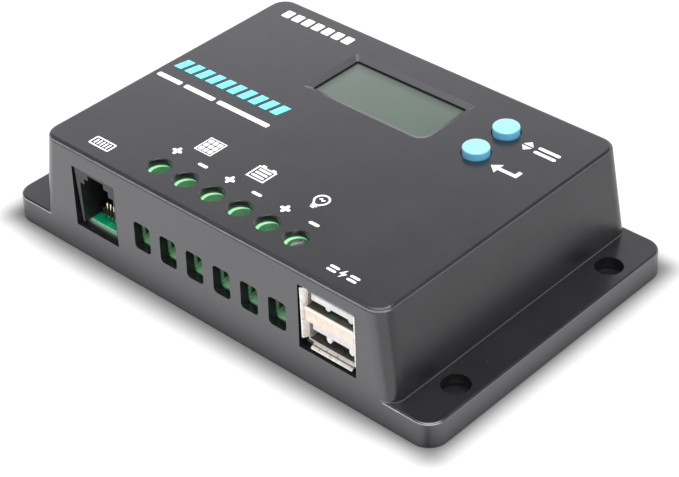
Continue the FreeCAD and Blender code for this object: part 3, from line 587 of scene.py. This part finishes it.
def mark(name, loops, material):
    """A thin plate of ink, even-odd filled from closed outlines in mm on the top face."""
    cu = bpy.data.curves.new(name, "CURVE")
    cu.dimensions = "2D"
    cu.fill_mode = "BOTH"
    cu.extrude = (INK_HI - INK_LO) / 2
    for loop in loops:
        sp = cu.splines.new("POLY")
        sp.points.add(len(loop) - 1)
        for p, (px, py) in zip(sp.points, loop):
            p.co = (px * MM, py * MM, 0, 1)
        sp.use_cyclic_u = True
    tmp = bpy.data.objects.new(name + "_outline", cu)
    scene.collection.objects.link(tmp)
    tmp.location.z = 0
    bpy.context.view_layer.update()
    me = bpy.data.meshes.new_from_object(tmp.evaluated_get(bpy.context.evaluated_depsgraph_get()))
    bpy.data.objects.remove(tmp)
    me.name = name
    me.transform(Matrix.Translation((0, 0, (INK_LO + INK_HI) / 2)))
    bm = bmesh.new()
    bm.from_mesh(me)
    bmesh.ops.remove_doubles(bm, verts=bm.verts, dist=2e-6)
    bmesh.ops.recalc_face_normals(bm, faces=bm.faces)
    bm.to_mesh(me)
    bm.free()
    me.materials.clear()
    me.materials.append(material)
    ob = bpy.data.objects.new(name, me)
    scene.collection.objects.link(ob)
    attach(ob, "case")
    return ob


W = 0.78
for i, (cx, cy) in enumerate(((-20.2, -22.9), (-4.6, -23.3), (10.8, -23.4))):
    mark("polarity_plus_%d" % (i + 1), [plus(cx, cy, 1.25, W)], WHITE_INK)
for i, (cx, cy) in enumerate(((-12.3, -23.3), (3.0, -23.4), (18.6, -23.5))):
    mark("polarity_minus_%d" % (i + 1), [pill(cx - 0.9, cy, cx + 0.9, cy, W)], WHITE_INK)

# solar panel: thin frame round filled cells
x0, y0, x1, y1, t = -18.3, -20.1, -13.6, -15.0, 0.26
loops = [rrect(x0, y0, x1, y1, 0.12, 3), rrect(x0 + t, y0 + t, x1 - t, y1 - t, 0.06, 2)]
nx, ny, gap = 3, 3, 0.30
ix0, iy0, ix1, iy1 = x0 + t + gap, y0 + t + gap, x1 - t - gap, y1 - t - gap
cw, ch = (ix1 - ix0 - gap * (nx - 1)) / nx, (iy1 - iy0 - gap * (ny - 1)) / ny
for i in range(nx):
    for j in range(ny):
        ax, ay = ix0 + i * (cw + gap), iy0 + j * (ch + gap)
        loops.append(rrect(ax, ay, ax + cw, ay + ch, 0.08, 3))
mark("icon_panel", loops, WHITE_INK)

# battery: case with two posts and charge bars
x0, y0, x1, y1, t = -3.5, -20.1, 1.3, -15.85, 0.36
posts = [(x0, y0), (x1, y0), (x1, y1), (0.75, y1), (0.75, y1 + 0.5), (-0.25, y1 + 0.5), (-0.25, y1),
         (-1.95, y1), (-1.95, y1 + 0.5), (-2.95, y1 + 0.5), (-2.95, y1), (x0, y1)]
loops = [posts, rrect(x0 + t, y0 + t, x1 - t, y1 - t, 0.12, 3)]
for k in range(3):
    by = y0 + t + 0.42 + k * 1.06
    loops.append(rrect(x0 + t + 0.42, by, x1 - t - 0.42, by + 0.62, 0.1, 3))
mark("icon_battery", loops, WHITE_INK)

# lamp: bulb outline with a plain coil and a ribbed base
cx, cy, r, t = 14.35, -16.75, 1.78, 0.42
outer = arc(cx, cy, r, -52, 232, 40) + [(cx - 0.80, cy - 1.95), (cx + 0.80, cy - 1.95)]
inner = arc(cx, cy, r - t, -50, 230, 36) + [(cx - 0.46, cy - 1.62), (cx + 0.46, cy - 1.62)]
mark("icon_lamp", [outer, inner, stroke([(cx - 0.60, cy + 0.05), (cx - 0.25, cy + 0.40), (cx + 0.25, cy - 0.20), (cx + 0.60, cy + 0.20)], 0.30),
                   rrect(cx - 0.78, cy - 2.50, cx + 0.78, cy - 2.14, 0.14, 3),
                   rrect(cx - 0.52, cy - 3.02, cx + 0.52, cy - 2.70, 0.14, 3)], WHITE_INK)

# data port: a socket outline with contact strokes
x0, y0, x1, y1 = -36.9, -32.4, -31.0, -29.5
loops = [rrect(x0, y0, x1, y1, 0.45), rrect(x0 + 0.36, y0 + 0.36, x1 - 0.36, y1 - 0.36, 0.2)]
for k in range(5):
    loops.append(pill(x0 + 1.15 + k * 0.9, y0 + 0.85, x0 + 1.15 + k * 0.9, y1 - 0.85, 0.42))
mark("icon_data_port", loops, WHITE_INK)

# power outlet: bolt between two bars
bx, by = 33.6, -31.5
bolt = [(bx + 0.15, by + 1.35), (bx - 0.85, by - 0.2), (bx - 0.1, by - 0.2), (bx - 0.25, by - 1.35), (bx + 0.8, by + 0.25), (bx + 0.05, by + 0.25)]
mark("icon_power_outlet", [bolt, pill(bx - 3.4, by + 0.55, bx - 1.7, by + 0.55, 0.62), pill(bx - 3.4, by - 0.55, bx - 1.7, by - 0.55, 0.62),
                           pill(bx + 1.7, by + 0.55, bx + 3.4, by + 0.55, 0.62), pill(bx + 1.7, by - 0.55, bx + 3.4, by - 0.55, 0.62)], WHITE_INK)

# select: up and down arrowheads with two bars beside them
sx, sy = 33.4, 23.6
mark("icon_select", [[(sx - 1.25, sy + 0.25), (sx + 1.25, sy + 0.25), (sx, sy + 1.6)],
                     [(sx - 1.25, sy - 0.25), (sx, sy - 1.6), (sx + 1.25, sy - 0.25)],
                     pill(sx + 2.6, sy + 0.8, sx + 7.2, sy + 0.8, 0.85), pill(sx + 2.6, sy - 0.8, sx + 7.2, sy - 0.8, 0.85)], WHITE_INK)

# enter: hooked arrow
ex, ey = 35.6, 13.8
mark("icon_enter", [[(ex - 3.6, ey - 0.2), (ex - 1.6, ey + 1.4), (ex - 1.6, ey + 0.22), (ex + 2.2, ey + 0.22), (ex + 2.2, ey + 1.5),
                     (ex + 3.1, ey + 1.5), (ex + 3.1, ey - 0.64), (ex - 1.6, ey - 0.64), (ex - 1.6, ey - 1.8)]], WHITE_INK)

# colour band and rule in place of a name, and a plain block row in the corner
slant = []
for k in range(10):
    bx0 = -44.8 + 3.2 * k
    slant.append([(bx0, -0.55), (bx0 + 2.1, -0.55), (bx0 + 2.9, 3.15), (bx0 + 0.8, 3.15)])
mark("band_cyan", slant, CYAN_INK)
mark("rule_white", [rrect(-45.3, -5.3, -38.2, -4.0, 0.3), rrect(-37.0, -5.3, -28.2, -4.0, 0.3), rrect(-27.0, -5.3, -12.2, -4.0, 0.3)], WHITE_INK)
mark("corner_blocks", [rrect(-41.8 + 3.0 * k, 29.6, -39.6 + 3.0 * k, 32.4, 0.35) for k in range(7)], WHITE_INK)

# --------------------------------------------------------------- floor, light
bm = bmesh.new()
N = 40
R0 = 2.6
grid = [[bm.verts.new(((i / N - 0.5) * 2 * R0, (j / N - 0.5) * 2 * R0, 0.0)) for j in range(N + 1)] for i in range(N + 1)]
for i in range(N):
    for j in range(N):
        bm.faces.new((grid[i][j], grid[i + 1][j], grid[i + 1][j + 1], grid[i][j + 1]))
me = bpy.data.meshes.new("floor")
bm.to_mesh(me)
bm.free()
floor = bpy.data.objects.new("floor", me)
scene.collection.objects.link(floor)
floor.location.z = -0.0003
fm = Mat("floor_white_paper", rough=0.75, spec=0.2)
paper = fm.mix(fm.rng(fm.noise(60.0, 3.0), 0.3, 0.7), lin(210, 210, 210), lin(215, 215, 215))
# painted shadow: the floor darkens towards the object's footprint
fx = fm.math("MAXIMUM", fm.math("SUBTRACT", fm.math("ABSOLUTE", fm.axis("X")), 0.0585), 0.0)
fy = fm.math("MAXIMUM", fm.math("SUBTRACT", fm.math("ABSOLUTE", fm.axis("Y")), 0.0360), 0.0)
foot = fm.math("SQRT", fm.math("ADD", fm.math("MULTIPLY", fx, fx), fm.math("MULTIPLY", fy, fy)))
painted_contact_shadow = fm.rng(foot, 0.0, 0.0115, 1.0, 0.0)
painted_contact_shadow = fm.math("MULTIPLY", painted_contact_shadow, fm.math("MULTIPLY", painted_contact_shadow, 0.80))
fm.color(fm.mix(painted_contact_shadow, paper, lin(70, 70, 70)))
fm.rough(fm.rng(fm.noise(12.0, 3.0), 0.3, 0.7, 0.7, 0.82, False))
fm.bump(fm.noise(1.2, 3.0), 0.01)
me.materials.append(fm.m)

world = bpy.data.worlds.new("studio")
scene.world = world
world.use_nodes = True
wt = world.node_tree
wt.nodes.clear()
wo = wt.nodes.new("ShaderNodeOutputWorld")
bg = wt.nodes.new("ShaderNodeBackground")
wc = wt.nodes.new("ShaderNodeTexCoord")
sp = wt.nodes.new("ShaderNodeSeparateXYZ")
cr = wt.nodes.new("ShaderNodeValToRGB")
wt.links.new(wc.outputs["Generated"], sp.inputs["Vector"])
wt.links.new(sp.outputs["Z"], cr.inputs["Fac"])
wt.links.new(cr.outputs["Color"], bg.inputs["Color"])
wt.links.new(bg.outputs["Background"], wo.inputs["Surface"])
cr.color_ramp.interpolation = "EASE"
e = cr.color_ramp.elements
e[0].position, e[0].color = 0.0, (1.2, 1.2, 1.2, 1)
e[1].position, e[1].color = 1.0, (0.25, 0.25, 0.25, 1)
for pos, v in ((0.40, 1.40), (0.495, 1.12), (0.545, 0.72), (0.60, 0.26), (0.66, 0.14)):
    n = e.new(pos)
    n.color = (v, v, v, 1)
# a broad pale panel low behind the object, towards back and left
pan = wt.nodes.new("ShaderNodeVectorMath")
pan.operation = "DOT_PRODUCT"
wt.links.new(wc.outputs["Generated"], pan.inputs[0])
pan.inputs[1].default_value = Vector((-0.545, 0.695, 0.47)).normalized()
pm = wt.nodes.new("ShaderNodeMapRange")
pm.interpolation_type = "SMOOTHSTEP"
pm.inputs["From Min"].default_value = 0.86
pm.inputs["From Max"].default_value = 1.0
pm.inputs["To Min"].default_value = 0.0
pm.inputs["To Max"].default_value = 0.24
wt.links.new(pan.outputs["Value"], pm.inputs["Value"])
ad = wt.nodes.new("ShaderNodeVectorMath")
ad.operation = "ADD"
dim = wt.nodes.new("ShaderNodeMapRange")
dim.interpolation_type = "SMOOTHSTEP"
dim.inputs["From Min"].default_value = -0.55
dim.inputs["From Max"].default_value = 0.25
dim.inputs["To Min"].default_value = 0.55
dim.inputs["To Max"].default_value = 1.0
wt.links.new(sp.outputs["Y"], dim.inputs["Value"])
sc = wt.nodes.new("ShaderNodeVectorMath")
sc.operation = "MULTIPLY"
wt.links.new(cr.outputs["Color"], sc.inputs[0])
wt.links.new(dim.outputs["Result"], sc.inputs[1])
wt.links.new(sc.outputs["Vector"], ad.inputs[0])
wt.links.new(pm.outputs["Result"], ad.inputs[1])
cast = wt.nodes.new("ShaderNodeVectorMath")
cast.operation = "MULTIPLY"
cast.inputs[1].default_value = (1.0, 0.985, 1.05)
wt.links.new(ad.outputs["Vector"], cast.inputs[0])
wt.links.new(cast.outputs["Vector"], bg.inputs["Color"])
bg.inputs["Strength"].default_value = 1.0


def softbox(name, loc, target, size, power, color=(1, 1, 1)):
    la = bpy.data.lights.new(name, "AREA")
    la.shape = "RECTANGLE"
    la.size, la.size_y = size
    la.energy = power
    la.color = color
    ob = bpy.data.objects.new(name, la)
    scene.collection.objects.link(ob)
    ob.location = loc
    d = Vector(target) - Vector(loc)
    ob.rotation_euler = d.to_track_quat("-Z", "Y").to_euler()
    return ob


softbox("overhead", (0.12, -0.06, 0.90), (0.0, 0.0, 0.0), (0.85, 0.85), 17.0)
